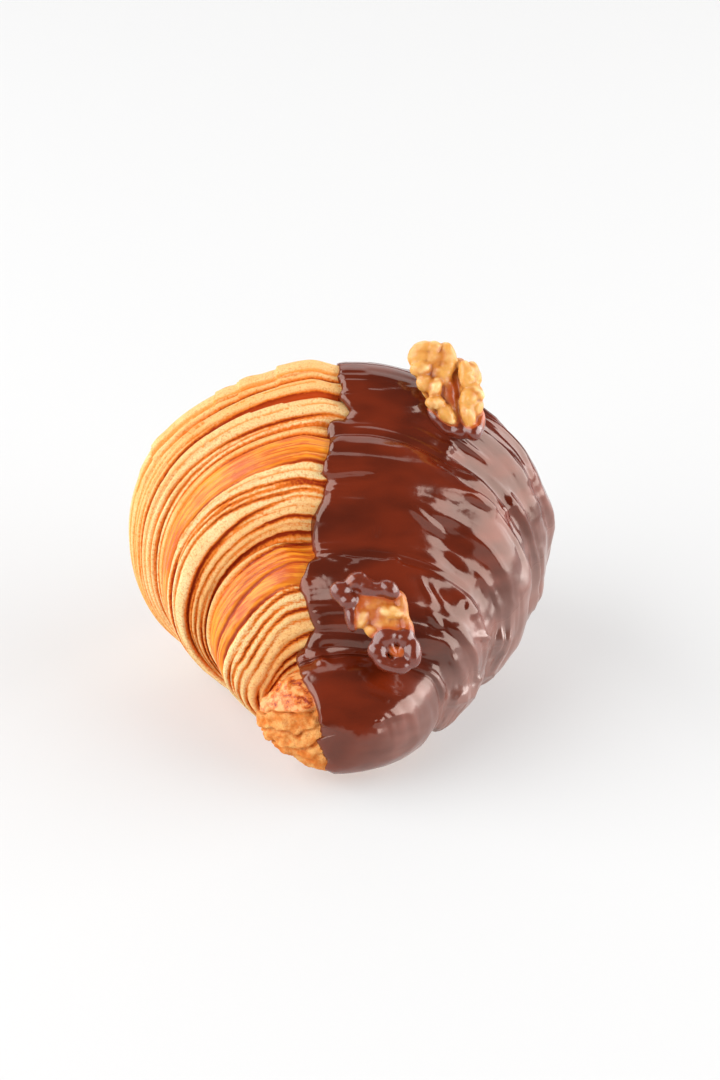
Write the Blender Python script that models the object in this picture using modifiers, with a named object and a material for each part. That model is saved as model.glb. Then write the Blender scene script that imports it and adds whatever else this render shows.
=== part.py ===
"""Chocolate-dipped croissant with two walnut halves, modelled as closed solids.

The croissant lies along Y with its near tip at -Y, its plain half at -X and its
chocolate half at +X.  It rests on a small flat at Z = 0.
"""
import math
import random
from typing import NamedTuple

import bmesh
import bpy
import numpy as np
from mathutils import Matrix, Vector

MM = 0.001

# Driving sizes, in millimetres.
CROWN_RADIUS = 51.5            # half width of the pastry at the middle
UPPER_RATIO = 0.905            # height above the widest level, as a share of half width
TIP_UPPER_RATIO = 0.66         # and at the tips, which are flatter
LOWER_RATIO = 0.755            # depth below the widest level, in the same way
TIP_LOWER_RATIO = 0.62         # and at the tips
MIDDLE_SHIFT = -2.5            # sideways place of the middle
BEND_SHIFT = 4.2               # how far the bend has carried it over at the bend reach
BEND_REACH = 51.0
TIP_RETURN = 4.5               # how far the very tip turns back
RETURN_START = 46.0            # where it starts to turn back
RETURN_REACH = 12.0            # and over what distance
LOWER_FULLNESS = 0.35          # how much squarer than an ellipse the crown is below
LAYER_LIFT = 2.9               # how much higher small rings sit than the crown ring
FLAT_DEPTH = 1.2               # depth taken off underneath to make the resting flat
NECK_PLACE = 43.0              # where the end knob leaves the third wrap
TIP_PLACE = 62.0               # end of the near tip
FAR_STRETCH = 1.03             # the hidden far half is a little longer
KNOB_HEIGHT = 16.5             # centre height of the knob
KNOB_LEAN = 0.25               # how far its face leans back for each step up
KNOB_FOOT = 4.0                # height from which it leans
NECK_PINCH = 3.4               # how much thinner the knob is at its neck
NECK_FADE = 2.6                # how far along the knob that thinning dies away

GROOVE_DEPTH = 0.95            # between two baked layers
NARROW_LAYER = 0.13            # share of a wrap's arc below which a layer is one ridge
TIP_GROOVE_RADIUS = 0.85       # half width of the rough grooves on the near tip
TIP_GROOVE_LEVELS = (19.3, 14.9, 10.9, 7.6)
TIP_GROOVE_TILT = 0.16         # how much the grooves rise towards the chocolate
TIP_GROOVE_MIDDLE = -12.0      # sideways place where they are at their levels
TIP_GROOVE_START = 50.0        # how far out along the croissant they begin

COAT_GAP = 0.8                 # clear space between pastry and chocolate
COAT_THICKNESS = 1.6
COAT_SINK = 2.0                # how far the top of the pastry is drawn in under the coat
COAT_CLEAR = 3.1               # lowest point of the chocolate above the table
NECK_CLEAR = 4.2               # how much higher it ends under the neck of each tip
NUT_GAP = 0.5                  # clear space between chocolate and walnut

# Facets round a ring: the strip along the chocolate edge, then the plain half, then
# the coated half, each with the angle in degrees where it starts.
RING_PARTS = ((76.0, 3), (112.0, 14), (272.0, 11), (436.0, 0))

# One row per wrap of dough, from the crown to the tip.  "reach" is along the
# croissant and "radius" is the half width, both from the start of the wrap to its
# foot.  "square" is how square its shoulder is, "skin" the share of its arc that
# is bare skin, and "layers" the relative widths of the cut layers after the skin.
WRAPS = (
    {"reach": (0.0, 12.2), "radius": (51.5, 44.2), "square": 1.5, "skin": 0.0,
     "layers": (2.2, 1.3, 1.8, 2.2, 4.6, 2.9)},
    {"reach": (12.2, 27.4), "radius": (44.4, 32.6), "square": 3.2, "skin": 0.36,
     "layers": (24.0, 9.0, 23.0, 19.0)},
    {"reach": (27.4, NECK_PLACE), "radius": (33.2, 18.2), "square": 3.0, "skin": 0.33,
     "layers": (18.0, 8.0, 20.0, 9.0, 19.0, 14.0, 13.0)},
    {"reach": (NECK_PLACE, TIP_PLACE), "radius": (21.0, 0.0), "square": 3.0, "skin": 1.0,
     "layers": ()},
)

# Where the chocolate edge runs, as sideways places down the croissant.  The steps
# are taken along a line that tips forward by the slope of the dip.
EDGE_TOP = 76.0                # level of the first place
EDGE_STEP = 6.0                # from one level to the next
EDGE_TIP_SHARE = 0.44          # how much a level counts the distance along
EDGE_HEIGHT_SHARE = 0.90       # and how much it counts the height
EDGE_PLACES = (-2.5, 0.6, -1.0, -4.8, -5.4, -6.2, -8.0, -8.2, -9.6, -9.2,
               -7.6, -10.2, -9.8, -7.6, -6.4, -5.4, -4.6)

# The two walnut halves, in millimetres: the middle, the way the long axis points,
# the way the lumpy face looks, the width over both lobes, and for each lobe its
# side, its fullness and how far it sits along the axis.
WALNUT_LENGTH = 25.0
WALNUT_DEPTH = 8.5
WALNUT_VOXEL = 0.8             # grid size at which its lumps are merged
WALNUT_KEEP = 0.125            # share of the merged triangles that is kept
TOP_WALNUT = {"middle": (24.2, -7.0, 78.2), "axis": (-0.24, 0.43, 0.87),
              "face": (0.05, -0.90, 0.44), "width": 17.0,
              "lobes": ((-1.0, 1.15, 0.6), (1.0, 0.8, -1.6))}
FRONT_WALNUT = {"middle": (6.1, -47.4, 37.6), "axis": (0.52, -0.42, -0.71),
                "face": (0.05, -0.85, 0.53), "width": 14.0,
                "lobes": ((-1.0, 1.0, 0.0), (1.0, 1.0, -0.5))}


def smooth(value):
    value = min(max(value, 0.0), 1.0)
    return value * value * (3.0 - 2.0 * value)


def blend(start, end, share):
    return start + (end - start) * share


# ---------------------------------------------------------------- profile

def wrap_arc(wrap, samples=240):
    """Plain profile of one wrap as distances out and radii, by share of arc."""
    angles = np.linspace(0.0, math.pi / 2, samples)
    power = 2.0 / wrap["square"]
    place_start, place_end = wrap["reach"]
    radius_start, radius_end = wrap["radius"]
    places = place_start + (place_end - place_start) * np.sin(angles) ** power
    radii = radius_end + (radius_start - radius_end) * np.cos(angles) ** power
    if radius_end == 0.0:
        radii = radii - NECK_PINCH * np.exp(-(places - place_start) / NECK_FADE)
    steps = np.hypot(np.diff(places), np.diff(radii))
    shares = np.concatenate([[0.0], np.cumsum(steps)])
    return places, radii, shares / shares[-1]


def layer_edges(wrap, chance, spread):
    """Shares of arc where one layer ends and the next starts."""
    widths = [width * (1.0 + chance.uniform(-spread, spread)) for width in wrap["layers"]]
    total = sum(widths)
    edges = [wrap["skin"]]
    for width in widths:
        edges.append(edges[-1] + (1.0 - wrap["skin"]) * width / total)
    return edges


class Station(NamedTuple):
    """One ring: its own place and radius, the place and radius on the plain profile
    that set its height, and how far a groove takes it back and in."""

    place: float
    radius: float
    plain_place: float
    plain_radius: float
    back: float = 0.0
    inward: float = 0.0


def stepped_half(chance, spread, stretch):
    """Stations from the middle out to one tip, with grooves between the layers."""
    stations = []
    for number, wrap in enumerate(WRAPS):
        places, radii, shares = wrap_arc(wrap)
        marks = []
        if wrap["layers"]:
            edges = layer_edges(wrap, chance, spread)
            if number > 0:
                for share in (0.03, 0.35, 0.75):
                    marks.append((wrap["skin"] * share, 0.0))
            for start, end in zip(edges[:-1], edges[1:]):
                depth = GROOVE_DEPTH * chance.uniform(0.75, 1.15)
                if not (number == 0 and start == 0.0):
                    marks.append((start, depth))
                if end - start < NARROW_LAYER:
                    marks.append((blend(start, end, 0.55), 0.0))
                else:
                    marks.append((blend(start, end, 0.3), 0.0))
                    marks.append((blend(start, end, 0.78), 0.0))
            marks.append((1.0, GROOVE_DEPTH * 0.6))
        else:
            for share in (0.025, 0.06, 0.1, 0.16, 0.26, 0.4, 0.5, 0.62, 0.74, 0.86, 0.95):
                marks.append((share, 0.0))
        for share, depth in marks:
            place = float(np.interp(share, shares, places))
            radius = float(np.interp(share, shares, radii))
            ahead = min(share + 0.02, 1.0)
            behind = max(share - 0.02, 0.0)
            along = np.interp(ahead, shares, places) - np.interp(behind, shares, places)
            inward = np.interp(behind, shares, radii) - np.interp(ahead, shares, radii)
            length = math.hypot(along, inward)
            stations.append(Station(stretch * place, radius, stretch * place, radius,
                                    depth * inward / length, depth * along / length))
    stations.append(Station(stretch * TIP_PLACE, 0.0, stretch * TIP_PLACE, 0.0))
    return stations


def plain_half(stretch):
    """The same profile without grooves, finely sampled."""
    line = []
    for wrap in WRAPS:
        places, radii, shares = wrap_arc(wrap, 160)
        line += [(stretch * place, radius) for place, radius in zip(places, radii)]
    return line


def grown_profile(distance, tolerance):
    """Profile a set distance outside the plain one, as stations from tip to tip."""
    near = [(-place, radius) for place, radius in plain_half(1.0)]
    line = np.array(near[::-1] + plain_half(FAR_STRETCH))
    start = line[0, 0] - distance
    end = line[-1, 0] + distance
    grown = []
    for place in np.linspace(start, end, 1400):
        offsets = distance ** 2 - (line[:, 0] - place) ** 2
        reaches = np.where(offsets >= 0.0, line[:, 1] + np.sqrt(np.maximum(offsets, 0.0)), -1.0)
        source = int(reaches.argmax())
        grown.append(Station(place, reaches[source], *line[source]))
    grown[0] = Station(start, 0.0, *line[0])
    grown[-1] = Station(end, 0.0, *line[-1])
    return thin_out(grown, tolerance)


def thin_out(line, tolerance):
    """Drop stations that lie within a tolerance of the straight run past them."""
    if len(line) < 3:
        return line
    points = np.array([(station.place, station.radius, ring_centre(station)[0])
                       for station in line])
    run = points[-1] - points[0]
    offsets = points - points[0]
    away = np.linalg.norm(np.cross(offsets, run), axis=1) / np.linalg.norm(run)
    far = int(away.argmax())
    if away[far] <= tolerance:
        return [line[0], line[-1]]
    return thin_out(line[:far + 1], tolerance)[:-1] + thin_out(line[far:], tolerance)


# ---------------------------------------------------------------- surface

def sway(place, theta):
    """Slow unevenness of the rolled dough: a shift along and a change of radius."""
    along = (0.55 * math.sin(2.0 * theta + 0.09 * place + 0.6)
             + 0.35 * math.sin(3.0 * theta - 0.13 * place + 2.1))
    outward = (0.30 * math.sin(3.0 * theta + 0.11 * place + 4.0)
               + 0.25 * math.sin(5.0 * theta - 0.07 * place + 1.2))
    return along, outward


def edge_place(place, height):
    """Sideways place of the chocolate edge at a place along and a height."""
    level = EDGE_HEIGHT_SHARE * height - EDGE_TIP_SHARE * abs(place)
    step = (EDGE_TOP - level) / EDGE_STEP
    step = min(max(step, 0.0), len(EDGE_PLACES) - 1.001)
    index = int(step)
    return blend(EDGE_PLACES[index], EDGE_PLACES[index + 1], smooth(step - index))


def ring_centre(station):
    """Height of the middle of a ring, and how far it reaches above and below that as
    shares of its radius."""
    out = abs(station.plain_place)
    radius = station.plain_radius
    upper = blend(UPPER_RATIO, TIP_UPPER_RATIO, smooth((out - 15.0) / 30.0))
    lower = blend(LOWER_RATIO, TIP_LOWER_RATIO, smooth((out - 34.0) / 14.0))
    wrapped = LAYER_LIFT * (1.0 - radius / CROWN_RADIUS) + lower * radius
    knobness = smooth((out - NECK_PLACE + 2.0) / 5.0)
    return blend(wrapped, KNOB_HEIGHT, knobness) - FLAT_DEPTH, upper, lower


def ring_point(station, theta):
    """A point of the croissant from a station and an angle round it."""
    plain_radius = station.plain_radius
    out = abs(station.plain_place)
    along, outward = sway(station.place, theta)
    fade = smooth(plain_radius / 15.0)
    groove = 1.0 - smooth((-math.sin(theta) - 0.5) / 0.35)
    place = station.place - math.copysign(station.back * groove, station.place)
    radius = max(station.radius - station.inward * groove + outward * fade, 0.0)
    shift = MIDDLE_SHIFT + BEND_SHIFT * min(out / BEND_REACH, 1.0) ** 1.5
    shift -= TIP_RETURN * smooth((out - RETURN_START) / RETURN_REACH)
    centre, upper, lower = ring_centre(station)
    sideways = math.cos(theta)
    upright = math.sin(theta)
    if upright < 0.0:
        power = 2.0 / (2.0 + LOWER_FULLNESS * smooth((plain_radius - 36.0) / 14.0))
        sideways = math.copysign(abs(sideways) ** power, sideways)
        upright = -abs(upright) ** power
    ratio = upper if upright > 0.0 else lower
    height = centre + ratio * radius * upright
    lean = KNOB_LEAN * (height - KNOB_FOOT) * smooth((abs(station.place) - NECK_PLACE) / 12.0)
    place -= math.copysign(lean, station.place)
    inside = shift + radius * sideways - edge_place(place, height)
    sink = COAT_SINK * smooth((inside + 7.0) / 8.0) * smooth((upright - 0.5) / 0.4)
    drawn = radius - sink * fade
    return Vector((shift + drawn * sideways,
                   place + along * fade,
                   centre + ratio * drawn * upright))


def ring_angles():
    """Angles round a ring, closer together along the chocolate edge."""
    angles = []
    for (start, count), (end, _) in zip(RING_PARTS[:-1], RING_PARTS[1:]):
        for step in range(count):
            angles.append(math.radians(blend(start, end, step / count)))
    return angles


def loft(name, stations):
    """Closed skin through rings at every station, ending in a point at each tip."""
    angles = ring_angles()
    count = len(angles)
    work = bmesh.new()
    rings = []
    for station in stations[1:-1]:
        rings.append([work.verts.new(ring_point(station, theta) * MM) for theta in angles])
    near = work.verts.new(ring_point(stations[0], 0.0) * MM)
    far = work.verts.new(ring_point(stations[-1], 0.0) * MM)
    for index in range(count):
        after = (index + 1) % count
        work.faces.new((near, rings[0][index], rings[0][after]))
        work.faces.new((far, rings[-1][after], rings[-1][index]))
    for ring, following in zip(rings[:-1], rings[1:]):
        for index in range(count):
            after = (index + 1) % count
            work.faces.new((ring[index], following[index], following[after], ring[after]))
    return mesh_object(name, work)


def mesh_object(name, work):
    """Turn a worked surface into an object of flat triangles that face out."""
    bmesh.ops.triangulate(work, faces=work.faces)
    bmesh.ops.recalc_face_normals(work, faces=work.faces)
    mesh = bpy.data.meshes.new(name)
    work.to_mesh(mesh)
    work.free()
    return bpy.data.objects.new(name, mesh)


# ---------------------------------------------------------------- dip and walnuts

def dip_block(name):
    """Closed block over the dipped side, its inner face following the edge."""
    work = bmesh.new()
    places = np.linspace(-84.0, 84.0, 43)
    rows = []
    for place in places:
        neck = math.exp(-((abs(place) - NECK_PLACE - 1.0) / 4.0) ** 2)
        rows.append(np.linspace(COAT_CLEAR + NECK_CLEAR * neck, 96.0, 33))
    inner = [[work.verts.new(Vector((edge_place(place, height), place, height)) * MM)
              for height in heights] for place, heights in zip(places, rows)]
    outer = [[work.verts.new(Vector((90.0, place, height)) * MM)
              for height in heights] for place, heights in zip(places, rows)]
    last_place = len(places) - 1
    last_height = len(rows[0]) - 1
    for row in range(last_place):
        for column in range(last_height):
            for grid in (inner, outer):
                work.faces.new((grid[row][column], grid[row + 1][column],
                                grid[row + 1][column + 1], grid[row][column + 1]))
        for column in (0, last_height):
            work.faces.new((inner[row][column], inner[row + 1][column],
                            outer[row + 1][column], outer[row][column]))
    for column in range(last_height):
        for row in (0, last_place):
            work.faces.new((inner[row][column], inner[row][column + 1],
                            outer[row][column + 1], outer[row][column]))
    return mesh_object(name, work)


def block_cutter(name, low, high):
    """Plain box between two corners, given in millimetres."""
    work = bmesh.new()
    bmesh.ops.create_cube(work, size=1.0)
    for vertex in work.verts:
        for axis in range(3):
            vertex.co[axis] = blend(low[axis], high[axis], vertex.co[axis] + 0.5) * MM
    return helper(mesh_object(name, work))


def tip_groove(name, level):
    """Rounded cutter that follows the plain side of the near tip at one height."""
    places, radii, _ = wrap_arc(WRAPS[-1], 90)
    path = []
    for place, radius in zip(places, radii):
        if place < TIP_GROOVE_START:
            continue
        station = Station(-place, radius, -place, radius)
        centre = ring_point(station, 0.0).z
        point = Vector((MIDDLE_SHIFT - radius, -place, level))
        for _ in range(3):
            height = level + TIP_GROOVE_TILT * (point.x - TIP_GROOVE_MIDDLE)
            pole = ring_point(station, math.copysign(math.pi / 2, height - centre))
            rise = (height - centre) / max(abs(pole.z - centre), 1e-6)
            if abs(rise) >= 1.0:
                break
            point = ring_point(station, math.pi - math.asin(rise))
        else:
            path.append(point)
    curve = bpy.data.curves.new(name, "CURVE")
    curve.dimensions = "3D"
    curve.bevel_depth = TIP_GROOVE_RADIUS * MM
    curve.bevel_resolution = 1
    curve.use_fill_caps = True
    kept = [path[0]]
    for point in path[1:]:
        if (point - kept[-1]).length > 2.2:
            kept.append(point)
    spline = curve.splines.new("POLY")
    spline.points.add(len(kept) - 1)
    for knot, point in zip(spline.points, kept):
        knot.co = (*(point * MM), 1.0)
    tube = bpy.data.objects.new(name + "_path", curve)
    return helper(bpy.data.objects.new(name, bpy.data.meshes.new_from_object(tube)))


def walnut_half(name, placing, seed):
    """Two wrinkled lobes of lumps, merged into one kernel and thinned."""
    chance = random.Random(seed)
    axis = Vector(placing["axis"]).normalized()
    face = Vector(placing["face"])
    face = (face - axis * face.dot(axis)).normalized()
    side = axis.cross(face)
    turn = Matrix((side, face, axis)).transposed().to_4x4()
    place = Matrix.Translation(Vector(placing["middle"]) * MM) @ turn
    width = placing["width"]
    work = bmesh.new()
    lumps = 5
    for lobe, fullness, slip in placing["lobes"]:
        for number in range(lumps):
            along = blend(-0.38, 0.38, number / (lumps - 1)) * WALNUT_LENGTH
            swell = 1.0 - 0.9 * (along / WALNUT_LENGTH) ** 2
            across = lobe * width * (0.25 + chance.uniform(-0.02, 0.05)) * swell
            size = Vector((0.25 * width * fullness, 0.48 * WALNUT_DEPTH,
                           0.135 * WALNUT_LENGTH))
            size *= swell * chance.uniform(0.9, 1.15)
            centre = Vector((across, chance.uniform(-0.6, 0.6), along + slip))
            twist = Matrix.Rotation(lobe * chance.uniform(0.2, 0.7), 4, "Y")
            lump(work, centre, size, twist)
    spine = Vector((0.16 * width, 0.34 * WALNUT_DEPTH, 0.36 * WALNUT_LENGTH))
    lump(work, Vector((0.0, -0.8, 0.0)), spine, Matrix())
    kernel = mesh_object(name, work)
    kernel.data.transform(place)
    remesh = kernel.modifiers.new("merge", "REMESH")
    remesh.mode = "VOXEL"
    remesh.voxel_size = WALNUT_VOXEL * MM
    thin = kernel.modifiers.new("thin", "DECIMATE")
    thin.ratio = WALNUT_KEEP
    kernel.modifiers.new("flat", "TRIANGULATE")
    return kernel


def lump(work, centre, size, twist):
    """One rounded lump of a kernel, in millimetres."""
    made = bmesh.ops.create_icosphere(work, subdivisions=2, radius=1.0)
    scale = Matrix.Diagonal((*size, 1.0))
    matrix = Matrix.Scale(MM, 4) @ Matrix.Translation(centre) @ twist @ scale
    bmesh.ops.transform(work, matrix=matrix, verts=made["verts"])


# ---------------------------------------------------------------- scene set-up

def material(name, colour, roughness):
    made = bpy.data.materials.new(name)
    made.use_nodes = True
    shader = made.node_tree.nodes["Principled BSDF"]
    shader.inputs["Base Color"].default_value = (*colour, 1.0)
    shader.inputs["Roughness"].default_value = roughness
    shader.inputs["Metallic"].default_value = 0.0
    made.diffuse_color = (*colour, 1.0)
    return made


def helper(thing):
    """Keep a cutter in the helpers' collection, out of the render."""
    helpers.objects.link(thing)
    thing.hide_render = True
    thing.display_type = "WIRE"
    return thing


def boolean(target, cutter, operation):
    modifier = target.modifiers.new(cutter.name, "BOOLEAN")
    modifier.operation = operation
    modifier.solver = "EXACT"
    modifier.object = cutter
    return modifier


for old in list(bpy.data.objects):
    bpy.data.objects.remove(old, do_unlink=True)

parts = bpy.data.collections.new("chocolate_croissant")
helpers = bpy.data.collections.new("helpers")
bpy.context.scene.collection.children.link(parts)
bpy.context.scene.collection.children.link(helpers)

pastry_material = material("baked_pastry", (0.72, 0.36, 0.12), 0.6)
chocolate_material = material("milk_chocolate", (0.13, 0.035, 0.018), 0.25)
walnut_material = material("walnut_kernel", (0.62, 0.32, 0.12), 0.55)


# ---------------------------------------------------------------- pastry body

chance = random.Random(7)
near_half = [station._replace(place=-station.place, plain_place=-station.plain_place)
             for station in stepped_half(chance, 0.0, 1.0)]
far_half = stepped_half(chance, 0.2, FAR_STRETCH)
croissant = loft("croissant", near_half[::-1] + far_half)
croissant.data.materials.append(pastry_material)
parts.objects.link(croissant)

tray = block_cutter("table_cutter", (-90.0, -90.0, -30.0), (90.0, 90.0, 0.0))
boolean(croissant, tray, "DIFFERENCE")
for count, level in enumerate(TIP_GROOVE_LEVELS):
    boolean(croissant, tip_groove(f"tip_groove_{count + 1}", level), "DIFFERENCE")


# ---------------------------------------------------------------- chocolate coat

pastry_cutter = helper(loft("pastry_cutter", grown_profile(COAT_GAP, 0.2)))
dip_cutter = helper(dip_block("dip_cutter"))
chocolate_coat = loft("chocolate_coat", grown_profile(COAT_GAP + COAT_THICKNESS, 0.4))
chocolate_coat.data.materials.append(chocolate_material)
parts.objects.link(chocolate_coat)
boolean(chocolate_coat, dip_cutter, "INTERSECT")
boolean(chocolate_coat, pastry_cutter, "DIFFERENCE")


# ---------------------------------------------------------------- walnuts

bed_profile = grown_profile(COAT_GAP + COAT_THICKNESS + NUT_GAP, 0.3)
bed_cutter = helper(loft("bed_cutter", bed_profile))
for name, placing, seed in (("walnut_top", TOP_WALNUT, 3), ("walnut_front", FRONT_WALNUT, 11)):
    kernel = walnut_half(name, placing, seed)
    kernel.data.materials.append(walnut_material)
    parts.objects.link(kernel)
    boolean(kernel, bed_cutter, "DIFFERENCE")
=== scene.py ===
"""Chocolate-dipped croissant with two walnut halves, dressed for its picture."""
import itertools
import math

import bmesh
import bpy
import numpy as np
from mathutils import Matrix, Vector


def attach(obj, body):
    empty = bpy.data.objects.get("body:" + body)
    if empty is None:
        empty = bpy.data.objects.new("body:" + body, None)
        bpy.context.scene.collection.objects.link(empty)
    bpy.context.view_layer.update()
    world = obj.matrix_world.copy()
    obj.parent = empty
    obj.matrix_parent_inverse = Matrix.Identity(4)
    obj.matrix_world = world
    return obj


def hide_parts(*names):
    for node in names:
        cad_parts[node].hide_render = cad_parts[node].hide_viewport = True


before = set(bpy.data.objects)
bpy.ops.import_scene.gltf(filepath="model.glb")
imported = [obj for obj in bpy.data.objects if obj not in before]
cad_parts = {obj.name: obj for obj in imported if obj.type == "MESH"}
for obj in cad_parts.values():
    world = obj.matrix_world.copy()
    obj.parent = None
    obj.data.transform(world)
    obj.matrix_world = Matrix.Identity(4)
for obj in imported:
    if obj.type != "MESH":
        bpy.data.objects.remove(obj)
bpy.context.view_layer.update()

MM = 0.001
STIR_FACTOR, STIR_STEP = 6364136223846793005, 1442695040888963407   # to mix up whole numbers

# ------------------------ driving sizes, in millimetres

CROWN_RADIUS = 51.5     # half width of the pastry at the middle
UPPER_RATIO = 0.905     # height above the widest level, as a share of half width
TIP_UPPER_RATIO = 0.66  # and at the tips, which are flatter
LOWER_RATIO = 0.755     # depth below the widest level, in the same way
TIP_LOWER_RATIO = 0.62  # and at the tips
MIDDLE_SHIFT = -2.5     # sideways place of the middle
BEND_SHIFT = 4.2        # how far the bend has carried it over at the bend reach
BEND_REACH = 51.0
BEND_POWER = 1.5        # how late on the way out most of the bend comes
TIP_RETURN = 4.5        # how far the very tip turns back
RETURN_START = 46.0     # where it starts to turn back
RETURN_REACH = 12.0     # and over what distance
LOWER_FULLNESS = 0.35   # how much squarer than an ellipse the crown is below
LAYER_LIFT = 2.9        # how much higher small rings sit than the crown ring
FLAT_DEPTH = 1.2        # depth taken off underneath to make the resting flat
NECK_PLACE = 43.0       # where the end knob leaves the third wrap
TIP_PLACE = 62.0        # end of the near tip
FAR_STRETCH = 1.03      # the hidden far half is a little longer
KNOB_HEIGHT = 16.5      # centre height of the knob
KNOB_LEAN = 0.25        # how far its face leans back for each step up
KNOB_FOOT = 4.0         # height from which it leans
NECK_PINCH = 3.4        # how much thinner the knob is at its neck
NECK_FADE = 2.6         # how far along the knob that thinning dies away
COAT_SINK = 2.0         # how far the top of the pastry is drawn in under the coat
COAT_BED = 1.3          # how much lower its baked layers lie there
COAT_CLEAR = 3.3        # lowest point of the chocolate above the table
NECK_CLEAR = 4.2        # how much higher it ends under the neck of each tip
COAT_GROWTH = 2.1       # chocolate over the plain pastry surface
PROFILE_STEPS = 2000    # steps along the profile of a wrap before it is spaced evenly
NEAR_SEED = 3           # of the layers of the near half, in the pastry and the coat
FAR_SEED = 400          # and of the far half

# Where one shape gives way to the next: the distance out where that starts and how far
# it takes.
LOWER_CHANGE = (34.0, 14.0)  # to the depth of the tips
UPPER_CHANGE = (15.0, 30.0)  # to the height of the tips
KNOB_CHANGE = (NECK_PLACE - 2.0, 5.0)  # to the height of the knob
LEAN_REACH = 12.0            # from the neck to the full lean of the knob's face
FULL_CHANGE = (36.0, 14.0)   # the same by radius, to the full squareness below
SINK_CHANGE = (-7.0, 8.0)    # past the chocolate's edge, to the full sink under it
TOP_CHANGE = (0.5, 0.4)      # and by the sine of the angle, from the flank to the top
TIP_FADE = 8.0               # radius below which relief dies away towards the tip

# Slow waves of the hand-rolled dough: height, waves round it, turn for each millimetre
# along it, and start, in radians.
WAVES_ALONG = ((0.55, 2.0, 0.09, 0.6), (0.35, 3.0, -0.13, 2.1))
WAVES_OUT = ((0.30, 3.0, 0.11, 4.0), (0.25, 5.0, -0.07, 1.2))
WAVE_FADE = 15.0  # radius below which they die away

# What the dough shows between two lines: a cut layer, glossy bare skin or a deep gap.
CUT, SKIN, GAP = 0, 1, 2

# One row per wrap of dough, from the crown to the tip: reach along the croissant and
# half width, both from its start to its foot, and how square its shoulder is.  Each
# line across a wrap is given as the share of its arc where it runs at the top and at
# the side, and how strong it is there.  A cut layer follows it, or else what the kinds
# say by its number.
WRAPS = (
    {"reach": (0.0, 12.2), "radius": (51.5, 44.2), "square": 1.5, "kinds": {4: GAP},
     "lines": ((0.23, 0.16, 0.7, 0.8), (0.34, 0.33, 0.9, 0.8), (0.42, 0.41, 0.1, 0.6),
               (0.55, 0.49, 0.7, 0.9), (0.57, 0.575, 1.0, 1.2), (0.67, 0.60, 0.6, 0.2),
               (0.75, 0.70, 0.1, 0.5), (0.89, 0.81, 1.0, 1.0), (0.945, 0.91, 0.6, 0.8))},
    {"reach": (12.2, 27.4), "radius": (44.4, 32.6), "square": 3.2,
     "kinds": {2: SKIN, 3: SKIN, 4: SKIN},
     "lines": ((0.00, 0.00, 0.9, 0.8), (0.05, 0.06, 0.6, 0.6), (0.14, 0.15, 1.3, 1.0),
               (0.27, 0.28, 0.3, 0.5), (0.38, 0.36, 0.6, 0.7), (0.46, 0.47, 1.0, 1.2),
               (0.53, 0.50, 0.5, 0.3), (0.60, 0.54, 1.2, 1.3), (0.625, 0.57, 1.3, 0.8),
               (0.66, 0.62, 1.0, 0.9), (0.70, 0.77, 0.5, 1.4), (0.76, 0.81, 0.4, 0.9),
               (0.82, 0.86, 1.2, 1.0), (0.88, 0.92, 0.7, 0.9), (0.94, 0.97, 1.3, 1.2))},
    {"reach": (27.4, NECK_PLACE), "radius": (33.2, 18.2), "square": 3.0,
     "kinds": {1: SKIN, 2: SKIN, 3: SKIN, 4: SKIN},
     "lines": ((0.00, 0.00, 0.8, 0.6), (0.02, 0.12, 1.2, 1.1), (0.11, 0.20, 0.9, 0.8),
               (0.17, 0.30, 0.7, 0.9), (0.24, 0.39, 1.2, 1.0), (0.39, 0.51, 1.2, 1.2),
               (0.43, 0.59, 0.9, 0.9), (0.48, 0.64, 0.8, 0.8), (0.54, 0.69, 1.0, 1.0),
               (0.60, 0.77, 1.0, 0.9), (0.69, 0.87, 1.1, 1.0), (0.78, 0.93, 1.0, 0.9),
               (0.87, 0.97, 1.0, 0.9))},
    {"reach": (NECK_PLACE, TIP_PLACE), "radius": (21.0, 0.0), "square": 3.0, "kinds": {},
     "lines": ()},
)

# The chocolate's edge as (level, sideways place), where the level of a point is its
# share of height less its share of the distance along the croissant.
EDGE_HEIGHT_SHARE = 0.90
EDGE_TIP_SHARE = 0.44
EDGE_LINE = ((80.0, -2.6), (71.8, -2.4), (68.0, -0.5), (63.0, 1.2), (61.0, -0.5),
             (58.6, -4.5), (52.5, -3.3), (48.0, -6.1), (46.6, -3.5), (41.9, -5.9),
             (36.0, -8.0), (31.8, -10.5), (30.0, -7.7), (28.6, -6.7), (23.0, -9.8),
             (14.0, -8.6), (11.5, -7.5), (6.7, -10.2), (1.7, -10.1), (-3.8, -8.4),
             (-10.7, -6.2), (-14.0, -6.6), (-19.0, -4.4))

# The camera, measured from the photograph, 720 by 1080 pixels.
PHOTO_WIDTH, PHOTO_HEIGHT = 720, 1080
CAMERA_RISE = 26.0          # degrees above level
CAMERA_REACH = 700.0        # from the middle of the croissant
AIM_HEIGHT = 38.8
AIM_PIXEL = (347.0, 530.0)  # where that middle shows
PIXELS_PER_MM = 4.06        # there
SENSOR_WIDTH = 36.0
RISE = math.radians(CAMERA_RISE)
TO_CAMERA = Vector((0.0, -math.cos(RISE), math.sin(RISE)))


def smooth(value):
    """Smooth rise from 0 to 1 as a value goes from 0 to 1."""
    value = np.clip(value, 0.0, 1.0)
    return value * value * (3.0 - 2.0 * value)


def ramp(value, start, reach):
    """Smooth rise from 0 at the start to 1 a reach further on."""
    return smooth((value - start) / reach)


def fall(value, end, reach):
    """Smooth fall from 1 to 0, a reach long, that is over at the end."""
    return smooth((end - value) / reach)


def bell(distance, reach):
    """Bell curve, 1 in the middle and nearly gone at twice its reach."""
    return np.exp(-(distance / reach) ** 2)


def blend(start, end, share):
    """Straight mix from start to end."""
    return start + (end - start) * share


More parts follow.
